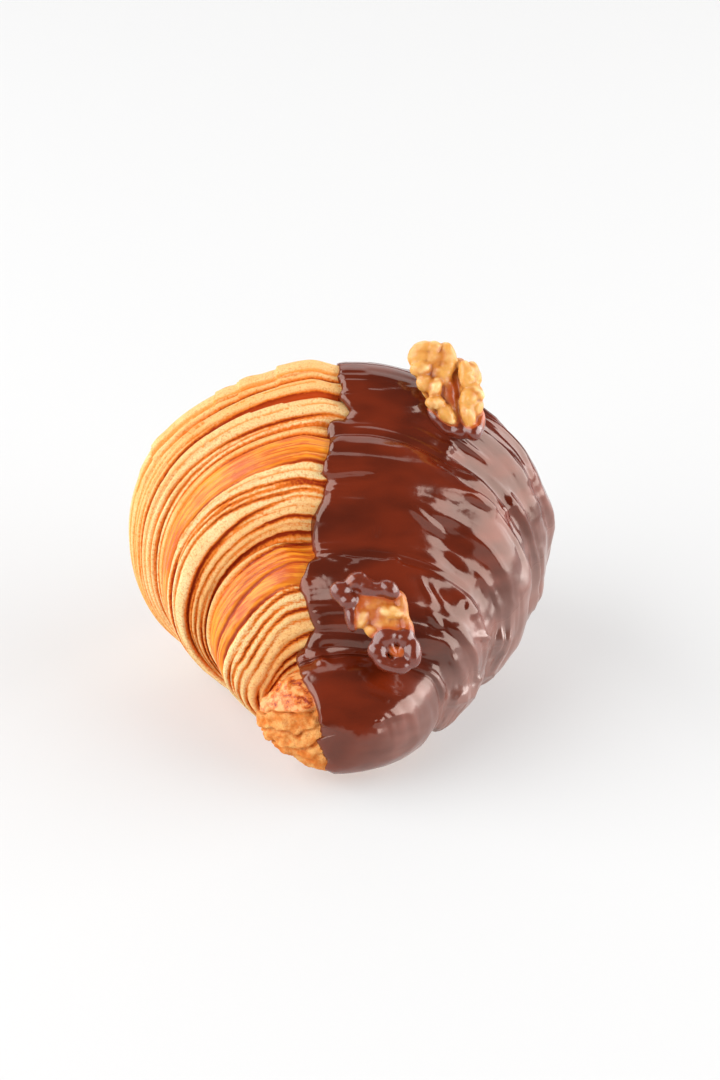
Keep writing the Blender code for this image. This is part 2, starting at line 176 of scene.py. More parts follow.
def lumps(points, size, seed):
    """Smooth random height at each point, about -1 to 1, with lumps of one size."""
    cells = np.asarray(points, float) / size
    low = np.floor(cells).astype(np.int64)
    part = smooth(cells - low)
    total = np.zeros(cells.shape[:-1])
    for corner in itertools.product((0, 1), repeat=cells.shape[-1]):
        mixed = np.full(cells.shape[:-1], seed * 7919 + 12345, np.int64)
        weight = np.ones(cells.shape[:-1])
        for axis, side in enumerate(corner):
            mixed = (mixed ^ (low[..., axis] + side)) * STIR_FACTOR + STIR_STEP
            mixed = mixed ^ (mixed >> 29)
            weight = weight * (part[..., axis] if side else 1.0 - part[..., axis])
        total += weight * ((mixed >> 20) & 0xFFFFF) / 0xFFFFF
    return 2.0 * total - 1.0


def lumpy(points, *kinds):
    """Several kinds of lumps at once, each given as its height, size and seed."""
    return sum(height * lumps(points, size, seed) for height, size, seed in kinds)


def wander(theta, seed, turns):
    """Slow random change round the croissant, about -1 to 1."""
    place = np.stack([theta * turns / 2.0, np.full_like(theta, 0.37)], axis=-1)
    return lumps(place, 1.0, seed) + 0.5 * lumps(place * 2.3, 1.0, seed + 50)


# ------------------------ the plain form

def arc_lengths(places, radii):
    """Distance run along a profile up to each of its points."""
    return np.concatenate([[0.0], np.cumsum(np.hypot(np.diff(places), np.diff(radii)))])


def half_line(stretch, spacing, knob_spacing):
    """Plain profile of one half, evenly spaced, from the middle out: distance out,
    radius, number of the wrap, share of its arc, and arc length of the wrap."""
    angles = np.linspace(0.0, math.pi / 2, PROFILE_STEPS)
    rows = []
    for number, wrap in enumerate(WRAPS):
        power = 2.0 / wrap["square"]
        places = blend(*wrap["reach"], np.sin(angles) ** power)
        radii = blend(*reversed(wrap["radius"]), np.cos(angles) ** power)
        knob = wrap["radius"][1] == 0.0
        if knob:
            radii = radii - NECK_PINCH * np.exp(-(places - NECK_PLACE) / NECK_FADE)
        arc = arc_lengths(places, radii)
        count = int(round(arc[-1] / (knob_spacing if knob else spacing)))
        for step in range(count):
            share = step / count
            rows.append((stretch * np.interp(share, arc / arc[-1], places),
                         np.interp(share, arc / arc[-1], radii), number, share, arc[-1]))
    rows.append((stretch * TIP_PLACE, 0.0, len(WRAPS) - 1, 1.0, arc[-1]))
    return np.array(rows)


def edge_place(place, height):
    """Sideways place of the chocolate's edge at a place along and a height."""
    level = EDGE_HEIGHT_SHARE * height - EDGE_TIP_SHARE * np.abs(place)
    levels, places = np.array(EDGE_LINE[::-1]).T
    return np.interp(level, levels, places)


def waves(kinds, theta, place):
    """Sum of slow waves round and along the croissant."""
    return sum(height * np.sin(turns * theta + twist * place + start)
               for height, turns, twist, start in kinds)


def croissant_point(place, radius, theta, plain=None):
    """Points of the croissant in millimetres, from places along it, radii, and angles
    round it.  Its height follows the plain profile, whose place and radius can be
    given apart."""
    plain_place, plain_radius = plain or (place, radius)
    out = np.abs(plain_place)
    fade = smooth(plain_radius / WAVE_FADE)
    ring = np.maximum(radius + waves(WAVES_OUT, theta, place) * fade, 0.0)
    shift = MIDDLE_SHIFT + BEND_SHIFT * np.minimum(out / BEND_REACH, 1.0) ** BEND_POWER
    shift = shift - TIP_RETURN * ramp(out, RETURN_START, RETURN_REACH)
    lower = blend(LOWER_RATIO, TIP_LOWER_RATIO, ramp(out, *LOWER_CHANGE))
    wrapped = LAYER_LIFT * (1.0 - plain_radius / CROWN_RADIUS) + lower * plain_radius
    centre = blend(wrapped, KNOB_HEIGHT, ramp(out, *KNOB_CHANGE)) - FLAT_DEPTH
    sideways, upright = np.cos(theta), np.sin(theta)
    power = 2.0 / (2.0 + LOWER_FULLNESS * ramp(plain_radius, *FULL_CHANGE))
    below = upright < 0.0
    sideways = np.where(below, np.sign(sideways) * np.abs(sideways) ** power, sideways)
    upright = np.where(below, -np.abs(upright) ** power, upright)
    upper = blend(UPPER_RATIO, TIP_UPPER_RATIO, ramp(out, *UPPER_CHANGE))
    ratio = np.where(below, lower, upper)
    height = centre + ratio * ring * upright
    lean = KNOB_LEAN * (height - KNOB_FOOT) * ramp(np.abs(place), NECK_PLACE, LEAN_REACH)
    along = waves(WAVES_ALONG, theta, place) * fade
    place = place - np.copysign(lean, place)
    inside = shift + ring * sideways - edge_place(place, height)
    sink = COAT_SINK * ramp(inside, *SINK_CHANGE) * ramp(upright, *TOP_CHANGE)
    drawn = ring - sink * fade
    return np.stack(np.broadcast_arrays(shift + drawn * sideways, place + along,
                                        centre + ratio * drawn * upright), axis=-1)


def photo_pixels(points):
    """Where points show in the photograph: pixels across and down."""
    sideways, along, height = points[..., 0], points[..., 1], points[..., 2] - AIM_HEIGHT
    distance = CAMERA_REACH + math.cos(RISE) * along - math.sin(RISE) * height
    scale = PIXELS_PER_MM * CAMERA_REACH / distance
    upward = math.sin(RISE) * along + math.cos(RISE) * height
    return AIM_PIXEL[0] + sideways * scale, AIM_PIXEL[1] - upward * scale


def outward_normals(points):
    """Unit normals of a grid of points, rows from tip to tip and columns round it."""
    down = np.gradient(points, axis=0)
    wrapped = np.concatenate([points[:, -1:], points, points[:, :1]], axis=1)
    around = (wrapped[:, 2:] - wrapped[:, :-2]) / 2.0
    normals = np.cross(down, around)
    length = np.linalg.norm(normals, axis=-1, keepdims=True)
    return normals / np.maximum(length, 1e-9)


def ring_angles(parts):
    """Angles round a ring from (start in degrees, count) parts, the last one closing."""
    angles = []
    for (start, count), (end, _) in zip(parts, parts[1:]):
        angles += [math.radians(blend(start, end, step / count)) for step in range(count)]
    return np.array(angles)


# ------------------------ baked layers

BAND_HEIGHT = 1.05         # crest of a wide cut layer over the plain form
SKIN_HEIGHT = 0.45         # of a strip of bare skin
GAP_HEIGHT = -0.5          # and of the floor of a deep gap
FULL_WIDTH = 4.5           # how wide a cut layer is before it nears that crest
GAP_WIDTHS = (0.3, 0.5)    # width at which a gap starts to open, and how much more opens it
RELIEF_SINK = 0.85         # the plain form stands this far out from the foot of a layer
GROOVE_EXTRA = 0.7         # how much a strong line cuts in below that
TUCK_REACH = 1.1           # how far a layer takes to rise from under the one before
LIP_REACH = 0.9            # and to drop at its outer lip
FLAKE_HEIGHT = 0.9         # how far a loose flake lifts at a lip
GROOVE_WIDTH = 0.42        # half width of the dark line between two layers
FOOT_LINE = 0.5            # and of the one at the foot of a wrap
TOP_ANGLE = 95.0           # angle at which the lines take their places at the top
SIDE_CHANGE = (0.1, 1.05)  # in radians from there, to their places at the side
GAP_SPREAD = 0.6           # the line after a deep gap takes less

# How a line wanders, in slow, quicker and fine turns: share of the arc, turns, and seed.
LINE_DRIFT = ((0.010, 2.6, 0), (0.004, 11.0, 4), (0.003, 50.0, 6))
# Loose flakes: wrap, layer, and angle and reach in degrees.
FLAKES = ((0, -1, 101.0, 7.0), (0, -1, 122.0, 4.0), (0, 1, 133.0, 5.0), (0, 3, 112.0, 4.0),
          (1, 5, 150.0, 6.0), (1, 9, 128.0, 5.0), (2, 4, 140.0, 6.0))


def line_places(number, theta, seed):
    """Where the lines across a wrap run, as shares of its arc at angles round it, with
    their strengths: one row a line, and a last one for the foot of the wrap."""
    from_top = np.abs(theta - math.radians(TOP_ANGLE))
    side = ramp(from_top, *SIDE_CHANGE)
    kinds = WRAPS[number]["kinds"]
    places, strengths = [], []
    for index, (top, low, top_strength, low_strength) in enumerate(WRAPS[number]["lines"]):
        drift = sum(reach * wander(theta, seed + 11 * index + extra, turns)
                    for reach, turns, extra in LINE_DRIFT)
        share = smooth(from_top / GAP_SPREAD) if kinds.get(index - 1) == GAP else side
        places.append(blend(top, low, share) + drift * (top != 0.0))
        fading = np.clip(0.85 + 0.4 * wander(theta, seed + 17 * index + 5, 3.0), 0.15, 1.4)
        strengths.append(fading * blend(top_strength, low_strength, side))
    places.append(np.ones_like(theta))
    return np.maximum.accumulate(np.array(places), axis=0), np.array(strengths)


def layer_height(kind, past, width, before, after):
    """Height of a layer a distance past the line before it, from its width and the
    strengths of the lines before and after it, without one before over the crown."""
    drop = np.minimum(LIP_REACH, 0.35 * width)
    crown = 1.0 - after * (1.0 - smooth((width - past) / drop))
    if before is None:
        return BAND_HEIGHT * crown * (1.0 - after * (1.0 - smooth(past / drop)))
    rise = {CUT: BAND_HEIGHT * np.clip(0.55 + width / FULL_WIDTH, 0.0, 1.2), SKIN: SKIN_HEIGHT,
            GAP: blend(SKIN_HEIGHT, GAP_HEIGHT, ramp(width, *GAP_WIDTHS))}[kind]
    rising = smooth(past / np.minimum(TUCK_REACH, 0.5 * width)) ** 0.7
    rising = rising * (0.72 + 0.28 * past / width)
    return rise * crown * (1.0 - before * (1.0 - rising))


def flake_height(number, index, kind, left, width, theta, seed):
    """How far a layer's thin lip lifts off, by chance and where a loose flake is, a
    distance left before the end of the layer."""
    lifted = 0.6 * ramp(wander(theta, seed + 41 * index + 9, 9.0), 0.75, 0.5)
    lifted = lifted * ramp(width, 1.2, 1.0) * (kind == CUT)
    for wrap, layer, angle, reach in FLAKES:
        if (wrap, layer) == (number, index):
            lifted = np.maximum(lifted, 1.3 * bell(theta - math.radians(angle),
                                                   math.radians(reach)))
    return FLAKE_HEIGHT * lifted * smooth(1.0 - left / 0.9) * smooth(left / 0.25)


def relief(rows, theta, seed):
    """Six maps for rows of one half: height of the baked surface over the plain one,
    depth in a line, bare skin, deep gap, tint of the layer, and nearness to its lip."""
    maps = np.zeros((6, len(rows), len(theta)))
    for number, wrap in enumerate(WRAPS[:-1]):
        mine = rows[:, 2] == number
        share, length = rows[mine, 3][:, None], rows[mine, 4][0]
        edges, strengths = line_places(number, theta, seed + 100 * number)
        full = np.minimum([*strengths, np.ones_like(theta)], 1.0)
        found = np.zeros((6, mine.sum(), len(theta)))
        height, groove, skin, gap, tint, lip = found
        for index in range(-1 if number == 0 else 0, len(strengths)):
            start, before = (edges[index], full[index]) if index >= 0 else (-edges[0], None)
            kind = wrap["kinds"].get(index, CUT)
            past = (share - start) * length
            width = np.maximum((edges[index + 1] - start) * length, 0.05)
            left = width - past
            uneven = 1.0 + 0.22 * wander(theta, seed + 31 * index + 3, 2.5)
            layer = layer_height(kind, past, width, before, full[index + 1]) * uneven
            layer = layer + flake_height(number, index, kind, left, width, theta, seed)
            shown = ((height, layer), (skin, float(kind == SKIN)),
                     (gap, float(kind == GAP) * ramp(width, *GAP_WIDTHS)),
                     (tint, math.sin(12.9898 * (index + 2) + number)),
                     (lip, 1.0 - ramp(left, 0.05, 0.3 * width + 0.35)))
            for grid, made in shown:
                np.copyto(grid, made, where=(past >= 0.0) & (past < width))
        for start, strength in zip(edges, strengths):
            past = (share - start) * length
            reach = GROOVE_WIDTH * (0.4 + 0.6 * strength)
            # The line's colour mark: a browner bake along it, with painted shade in the groove.
            line_bake_and_shade = bell(past - 0.1 * reach, 1.2 * reach) * np.clip(strength, 0.0, 1.0)
            np.maximum(groove, line_bake_and_shade, out=groove)
            extra = GROOVE_EXTRA * np.maximum(strength - 0.5, 0.0)
            height -= extra * bell(past - 0.2 * reach, reach)
        np.maximum(groove, bell((1.0 - share) * length, FOOT_LINE), out=groove)
        maps[:, mine] = found
    return maps


def put_in_scene(name, data):
    """A new object in the scene."""
    made = bpy.data.objects.new(name, data)
    bpy.context.scene.collection.objects.link(made)
    return made


def mesh_piece(name, points, faces, values, finish):
    """A smooth mesh object from points in millimetres, with named values per point."""
    mesh = bpy.data.meshes.new(name)
    mesh.from_pydata((np.asarray(points) * MM).tolist(), [], faces)
    mesh.polygons.foreach_set("use_smooth", [True] * len(mesh.polygons))
    for key, numbers in values.items():
        kind, field = ("FLOAT_VECTOR", "vector") if numbers.ndim == 2 else ("FLOAT", "value")
        attribute = mesh.attributes.new(key, kind, "POINT")
        attribute.data.foreach_set(field, numbers.astype(np.float32).ravel())
    mesh.materials.append(finish)
    return put_in_scene(name, mesh)


# ------------------------ shader sums

class Value:
    """A socket whose sums, written as Python expressions, add Math nodes."""

    def __init__(self, finish, socket):
        self.finish, self.socket = finish, socket

    def sum(self, operation, first, second):
        return self.finish.node("ShaderNodeMath", {"operation": operation},
                                {0: first, 1: second})

    def __add__(self, other):
        return self.sum("ADD", self, other)

    def __sub__(self, other):
        return self.sum("SUBTRACT", self, other)

    def __rsub__(self, other):
        return self.sum("SUBTRACT", other, self)

    def __mul__(self, other):
        return self.sum("MULTIPLY", self, other)

    def __truediv__(self, other):
        return self.sum("DIVIDE", self, other)

    __radd__, __rmul__ = __add__, __mul__

    def clamp(self):
        return self.sum("MINIMUM", self.sum("MAXIMUM", self, 0.0), 1.0)

    def step(self, low, high):
        """Smooth rise from 0 at the low value to 1 at the high one."""
        share = ((self - low) / (high - low)).clamp()
        return share * share * (3.0 - 2.0 * share)


class Finish:
    """One material under construction."""

    def __init__(self, name):
        self.material = bpy.data.materials.new(name)
        self.material.use_nodes = True
        self.tree = self.material.node_tree
        self.shader = self.tree.nodes["Principled BSDF"]

    def node(self, kind, settings=(), sockets=(), out=0):
        """Add a node: its settings first, then values or links for its sockets."""
        node = self.tree.nodes.new(kind)
        for key, given in dict(settings).items():
            setattr(node, key, given)
        for key, given in dict(sockets).items():
            self.feed(node.inputs[key], given)
        return Value(self, node.outputs[out])

    def feed(self, socket, given):
        if isinstance(given, Value):
            self.tree.links.new(given.socket, socket)
        elif socket.type == "RGBA":
            socket.default_value = (*given, 1.0)
        else:
            socket.default_value = given

    def place(self):
        """Place on the piece, in metres."""
        return self.node("ShaderNodeTexCoord", out=3)

    def held(self, name, out=2):
        """A value kept on the mesh, or with out=1 a vector."""
        return self.node("ShaderNodeAttribute", {"attribute_name": name}, out=out)

    def noise(self, place, scale, detail, roughness=0.5):
        return self.node("ShaderNodeTexNoise", {"noise_dimensions": "3D"},
                         {"Vector": place, "Scale": scale, "Detail": detail,
                          "Roughness": roughness})

    def stretch(self, place, scale):
        """A vector times a fixed vector."""
        return self.node("ShaderNodeVectorMath", {"operation": "MULTIPLY"}, {0: place, 1: scale})

    def paint(self, colour, *coats):
        """Lay colours over one another: each coat is how much of it shows and its colour."""
        for share, over in coats:
            colour = self.node("ShaderNodeMix", {"data_type": "RGBA"},
                               {0: share, 6: colour, 7: over}, 2)
        return colour

    def bump(self, height, strength, distance, **under):
        return self.node("ShaderNodeBump", sockets={"Height": height, "Strength": strength,
                                                    "Distance": distance, **under})

    def set(self, **sockets):
        for key, given in sockets.items():
            self.feed(self.shader.inputs[key.replace("_", " ")], given)


def linear(red, green, blue):
    """A colour given in the eight-bit numbers of a picture, as the shader takes it."""
    return tuple(((part / 255 + 0.055) / 1.055) ** 2.4 if part > 10 else part / 255 / 12.92
                 for part in (red, green, blue))


# ------------------------ finishes

WHITE = (1.0, 1.0, 1.0)
CRUMB_PALE, CRUMB_WARM = linear(255, 224, 166), linear(244, 180, 104)
GRAIN_BROWN, SPECK_BROWN = linear(232, 148, 68), linear(216, 122, 46)
# LIP_PAINTED_SHADE is painted shade: the saturated orange a layer's side shows in shade, towards
# its lip.
LIP_PAINTED_SHADE, GAP_BROWN = linear(242, 142, 44), linear(196, 74, 14)
# The crease colours, SKIN_LINE and END_LINE darken the lines between layers: a browner bake there,
# with painted shade over it.
CREASE_BAKE_AND_SHADE, CREASE_DEEP_BAKE_AND_SHADE = linear(240, 128, 38), linear(166, 52, 8)
SKIN_GOLD, SKIN_BROWN = linear(244, 155, 44), linear(210, 92, 22)
SKIN_LIP, SKIN_LINE = linear(252, 156, 30), linear(184, 64, 12)
KNOB_PALE, KNOB_BROWN, KNOB_DARK = linear(244, 176, 108), linear(226, 118, 44), linear(168, 58, 20)
END_PALE, END_BROWN = linear(242, 180, 108), linear(222, 126, 52)
END_GRAIN, END_LINE = linear(212, 120, 50), linear(214, 118, 44)
CHOCOLATE_DARK, CHOCOLATE_WARM = linear(85, 26, 9), linear(114, 37, 14)
# CHOCOLATE_PAINTED_SHEEN is a painted sheen: a paler mauve brown low on the flank, where the
# chocolate reflects light.
CHOCOLATE_PAINTED_SHEEN = linear(150, 92, 70)
# NUT_CREST_HIGHLIGHT is a painted highlight on the kernel's ridges, NUT_HOLLOW_SHADE painted shade
# in its hollows.
NUT_PALE, NUT_TAN, NUT_CREST_HIGHLIGHT = linear(230, 166, 80), linear(206, 126, 42), linear(250, 206, 136)
NUT_HOLLOW_SHADE, NUT_AMBER, NUT_DIPPED = linear(146, 66, 14), linear(184, 82, 18), linear(112, 40, 20)
FLOOR_GREY, FLOOR_GLOW = 0.45, 0.355

STREAK_SCALE = (2.2, 0.1, 1.0)      # streaks to a millimetre along and round the wraps
CLOUD_SCALE = (55.0, 130.0, 130.0)  # clouds in the chocolate to a metre
PAINTED_SHEEN_REACH = (-0.016, 0.018)       # from none of the duller coat and its painted sheen low on the flank to all of it


def pastry_finish():
    finish = Finish("baked_pastry")
    place = finish.place()
    crease, skin, tint, tip, lip, knob, gap = (
        finish.held(name) for name in ("crease", "skin", "tint", "tip", "lip", "knob", "gap"))
    grain = finish.noise(place, 2600.0, 3.0, 0.7)
    speck = finish.noise(place, 1500.0, 2.0)
    cloud = finish.noise(place, 110.0, 3.0)
    blister = finish.noise(place, 520.0, 4.0, 0.65)
    crumb = finish.noise(place, 380.0, 3.0, 0.6)
    streak = finish.noise(finish.stretch(finish.held("flow", out=1), STREAK_SCALE), 1.0, 3.0, 0.6)

    layers = finish.paint(
        CRUMB_PALE, ((cloud * 1.2 + tint * 0.35 + streak * 0.6 - 0.5).clamp(), CRUMB_WARM),
        (grain.step(0.46, 0.62) * 0.45, GRAIN_BROWN),
        (speck.step(0.58, 0.66) * 0.5, SPECK_BROWN),
        # Painted shade: each cut layer turns orange towards its lip, where its side falls into
        # shade.
        ((lip + (grain - 0.5) * 0.5).step(0.45, 1.0) * 0.8, LIP_PAINTED_SHADE),
        # Browner bake and painted shade along the lines between layers.
        ((crease + (speck - 0.5) * 0.5).step(0.3, 0.68), CREASE_BAKE_AND_SHADE),
        ((crease + (speck - 0.5) * 0.4).step(0.6, 0.92), CREASE_DEEP_BAKE_AND_SHADE))
    knob_skin = finish.paint(KNOB_PALE, (blister.step(0.4, 0.55), KNOB_BROWN),
                             (blister.step(0.55, 0.64), KNOB_DARK))
    bare_skin = finish.paint(
        SKIN_GOLD, ((streak + (cloud - 0.5) * 0.8).step(0.35, 0.65), SKIN_BROWN),
        (lip * 0.6, SKIN_LIP), (crease.step(0.35, 0.9), SKIN_LINE), (knob, knob_skin))
    # SKIN_LINE above and END_LINE here darken the lines in the same way: a browner bake with
    # painted shade.
    cut_end = finish.paint(
        END_PALE, (crumb.step(0.35, 0.65), END_BROWN),
        (grain.step(0.48, 0.66) * 0.6, END_GRAIN), (crease * 0.6, END_LINE))
    body = finish.paint(layers, (skin, bare_skin), (gap, GAP_BROWN), (tip, cut_end))

    glossy = (skin + gap * 0.3).clamp()
    rough = finish.bump(grain + crumb * tip, (1.0 - glossy) * 0.7 + 0.05, 0.0004)
    swell = finish.bump(blister, skin * 0.35, 0.0006, Normal=rough)
    fine = finish.bump(streak, skin * 0.4 + 0.2, 0.0004, Normal=swell)
    finish.set(Base_Color=body, Roughness=0.75 - glossy * 0.4, Normal=fine)
    finish.set(Specular_IOR_Level=0.15, Coat_Weight=glossy * 0.5, Coat_Roughness=0.25)
    finish.set(Subsurface_Weight=0.2, Subsurface_Radius=(0.004, 0.002, 0.001),
               Subsurface_Scale=0.4)
    return finish.material


def chocolate_finish():
    finish = Finish("milk_chocolate")
    place = finish.place()
    cloud = finish.noise(finish.stretch(place, CLOUD_SCALE), 1.0, 2.0)
    ripple = finish.noise(place, 260.0, 2.0)
    sideways, height = (finish.node("ShaderNodeSeparateXYZ", sockets={0: place}, out=axis)
                        for axis in (0, 2))
    # Low on the flank the coat is rougher and duller, and its colour is lightened there by painted
    # sheen.
    low = (sideways - height * 1.1 + (cloud - 0.5) * 0.02).step(*PAINTED_SHEEN_REACH)
    colour = finish.paint(CHOCOLATE_DARK, (cloud.step(0.35, 0.7), CHOCOLATE_WARM),
                          (low * 0.4, CHOCOLATE_PAINTED_SHEEN))
    finish.set(Base_Color=colour, Roughness=low * 0.2 + 0.13,
               Normal=finish.bump(ripple, 0.12, 0.0006))
    finish.set(IOR=1.7, Specular_Tint=(1.0, 0.82, 0.72), Coat_Weight=low,
               Coat_Roughness=0.35, Coat_IOR=2.1)
    return finish.material


def walnut_finish():
    finish = Finish("walnut_kernel")
    place = finish.place()
    dipped, hollow, crest = (finish.held(name) for name in ("dipped", "hollow", "crest"))
    cloud = finish.noise(place, 260.0, 3.0)
    grain = finish.noise(place, 1500.0, 3.0, 0.6)
    dip = (dipped + (cloud - 0.5) * 0.35).step(0.5, 0.8)
    # Painted highlight on the ridges (crest) and painted shade in the hollows (hollow), then amber
    # and chocolate where it is dipped.
    colour = finish.paint(
        NUT_PALE, (cloud.step(0.35, 0.65), NUT_TAN), (crest * cloud.step(0.4, 0.6), NUT_CREST_HIGHLIGHT),
        (hollow, NUT_HOLLOW_SHADE), ((dipped + (cloud - 0.5) * 0.6).step(0.15, 0.6), NUT_AMBER),
        (dip.step(0.4, 1.0), NUT_DIPPED))
    rough = finish.bump(cloud * 0.6 + grain * 0.4, (1.0 - dip) * 0.5, 0.0004)
    finish.set(Base_Color=colour, Roughness=0.42 - dip * 0.2, Normal=rough)
    finish.set(Coat_Weight=dip * 0.7 + 0.3, Coat_Roughness=0.15)
    finish.set(Subsurface_Weight=0.15, Subsurface_Radius=(0.003, 0.0015, 0.0008),
               Subsurface_Scale=0.5)
    return finish.material


def floor_finish():
    finish = Finish("pale_floor")
    finish.set(Base_Color=(FLOOR_GREY,) * 3, Roughness=0.9, Specular_IOR_Level=0.1)
    finish.set(Emission_Color=WHITE, Emission_Strength=FLOOR_GLOW)
    return finish.material


# ------------------------ pastry

# Angles round its rings: where each part starts, in degrees, and how many points it has.
PASTRY_ANGLES = ((80.0, 226), (212.0, 22), (270.0, 8), (330.0, 10), (440.0, 0))
NEAR_SPACING = 0.33       # between the rings of the near half
FAR_SPACING = 0.9         # of the hidden one
KNOB_SPACING = 0.55       # and at least on the knobs
KNOB_STEP = 3.9           # height of the shelves between the lines of a cut end
END_TILT = 0.2            # how far those tilt for each step sideways
TIP_CHANGE = (47.0, 4.0)  # distance out where the cut end starts, and how far it takes
LOW_ANGLE = 212.0         # middle of the hollow low on the plain side
LOW_HOLLOW = 1.5          # its depth
TOP_HOLLOW = 0.9          # depth of the one over the crown, where thin leaves lie
LEAF_END = (6.5, 3.0)     # distance out where they end, and how far they thin out

# Height and depth of the lines across a cut end.
KNOB_LINES = ((19.3, 1.3), (14.9, 1.0), (10.9, 0.9), (7.6, 0.7))
# Thin leaves over the crown: angle at which each ends, reach in degrees, and thickness.
LEAVES = ((107.0, 26.0, 0.7), (117.6, 8.0, 0.6), (125.6, 6.0, 0.45), (150.4, 8.0, 0.5))


def closed_grid(rows, columns):
    """Faces of a grid of rings that closes round and ends in a point at each tip."""
    last, near = (rows - 1) * columns, rows * columns
    sides = [(column, (column + 1) % columns) for column in range(columns)]
    faces = [(start + column, start + columns + column, start + columns + after, start + after)
             for start in range(0, last, columns) for column, after in sides]
    for column, after in sides:
        faces += [(near, column, after), (near + 1, last + after, last + column)]
    return faces


def past_edge(points):
    """How far points lie past the chocolate's edge, towards the dipped side."""
    return points[..., 0] - edge_place(points[..., 1], points[..., 2])


def end_relief(plain, out, knob):
    """The knobs and their cut ends: height over the plain form, where an end is cut,
    and how deep the lines across it run."""
    levels = plain[..., 2] - END_TILT * (plain[..., 0] + 12.0)
    levels = levels + lumpy(plain, (1.3, 6.0, 8), (0.7, 2.0, 9))
    tip = ramp(out, *TIP_CHANGE) * fall(levels, KNOB_LINES[0][0] + 0.6, 0.8)
    strata = np.zeros_like(levels)
    for level, depth in KNOB_LINES:
        broken = 0.7 + 0.5 * lumps(plain + level, 3.5, 10)
        strata = np.maximum(strata, depth * broken * bell(levels - level, 0.5))
    lump = lumpy(plain, (0.8, 4.0, 5), (0.4, 0.9, 7)) + 0.8 * np.abs(lumps(plain, 1.9, 6))
    past_line = np.mod(levels - KNOB_LINES[-1][0], KNOB_STEP) / KNOB_STEP
    blisters = smooth(lumps(plain, 2.4, 12) * 1.6) * 0.5 + lumps(plain, 1.0, 13) * 0.15
    bare = smooth(1.0 - past_edge(plain) / 1.5)
    height = 0.5 * (1.0 - knob) + knob * bare * ((1.0 - tip) * blisters - 0.1)
    height = height + tip * bare * (lump + 0.6 * (1.0 - past_line) - 0.4 - strata)
    return height, tip, strata


def build_pastry(finish):
    theta = ring_angles(PASTRY_ANGLES)
    upright = np.sin(theta)
    halves = []
    for sign, stretch, spacing, seed in ((-1.0, 1.0, NEAR_SPACING, NEAR_SEED),
                                         (1.0, FAR_STRETCH, FAR_SPACING, FAR_SEED)):
        rows = half_line(stretch, spacing, max(spacing, KNOB_SPACING))
        maps = relief(rows, theta, seed)
        rows[:, 0] *= sign
        halves.append((rows, sign * arc_lengths(rows[:, 0], rows[:, 1]), *maps))
    rows, arc, height, crease, skin, gap, tint, lip = (
        np.concatenate([near[::-1], far[1:]])[1:-1] for near, far in zip(*halves))
    place, radius = rows[:, :1], rows[:, 1:2]
    plain = croissant_point(place, radius, theta)

    out = np.abs(plain[..., 1])
    knob = smooth((np.abs(place) - NECK_PLACE) / 0.6) * np.ones_like(out)
    end_height, tip, strata = end_relief(plain, out, knob)
    height = np.where(knob > 0.0, end_height, height) - RELIEF_SINK
    low_side = bell(theta - math.radians(LOW_ANGLE), 0.5)
    height = height - LOW_HOLLOW * low_side * ramp(-place, 4.0, 8.0) * (1.0 - knob)
    height = height - TOP_HOLLOW * ramp(upright, 0.6, 0.3) * fall(out, 14.0, 6.0)
    for angle, reach, thickness in LEAVES:
        before = (math.radians(angle) - theta - 0.02 * lumps(plain, 2.5, 15)) / math.radians(reach)
        leaf = np.where((before > 0.0) & (before < 1.0), smooth(1.3 * (1.0 - before)), 0.0)
        height = height + thickness * leaf * fall(out, *LEAF_END)
    height = height - COAT_BED * ramp(past_edge(plain), 2.0, 4.0)
    limit = 2.0 * ramp(upright, 0.3, 0.3) + ramp(out, 8.0, 6.0) - 0.2
    height = np.minimum(height, limit) * smooth(radius / TIP_FADE)
    moved = plain + outward_normals(plain) * height[..., None]
    moved[..., 2] = np.maximum(moved[..., 2], 0.0)
    points = np.concatenate([moved.reshape(-1, 3), plain[[0, -1]].mean(axis=1)])

    around = theta * np.maximum(radius, 4.0)
    # crease carries the darkening along the lines, a browner bake with painted shade; lip carries
    # the painted shade on cut layers towards their lips, and the brighter strip at the lip of bare
    # skin.
    grids = {"crease": np.maximum(crease * (1.0 - knob), tip * np.minimum(strata, 1.0)),
             "skin": np.maximum(skin * (1.0 - knob), knob * (1.0 - tip)),
             "gap": gap * (1.0 - knob), "tint": tint, "tip": tip, "lip": lip, "knob": knob,
             "flow": np.stack(np.broadcast_arrays(arc[:, None], around, 0.0), axis=-1)}
    values = {}
    for name, grid in grids.items():
        flat = grid.reshape(-1, *grid.shape[2:])
        values[name] = np.concatenate([flat, flat[[0, -1]]])
    return mesh_piece("pastry", points, closed_grid(*out.shape), values, finish)


# ------------------------ chocolate coat

# Angles round its rings, in the same way.
COAT_ANGLES = ((82.0, 60), (128.0, 10), (180.0, 16), (290.0, 40), (335.0, 132), (442.0, 0))
COAT_SPACING = (0.48, 1.4)  # between the rings of the near half and of the hidden one
FINE_SPACING = 0.12         # between the points of the line that they follow
NEAR_END = 2.0              # place along at which the near half gives way
COAT_STEPS = 1500           # steps along the coated line before it is spaced evenly
COAT_POOL = 9.0             # radius to which the chocolate fills the corners between wraps
CORNER_LIP = 0.6            # height of the line where one coated wrap meets the next
CORNER_NOTCH = 1.6          # and depth of the notch it leaves low on the flank
CROWN_FLAT = 52.3           # radius at which the chocolate levels out over the crown
RIDGE_SPACING = 6.0         # between the ridges that run down the chocolate's flank
RIDGE_HEIGHT = 2.4          # how high they stand
RIDGE_SWING = 0.55          # how far they wander, as a share of the spacing
LONG_RUNS, SHORT_RUNS = (7.0, 24.0), (1.5, 6.0)  # width and length of their changes
LOWEST_RIDGE = -1.5         # the flank is never drawn in further
STEP_DEPTH = 0.45           # how deep the strongest baked lines show at the edge
RIM_ROUND = 2.3             # how far in from its edge the coat reaches full thickness
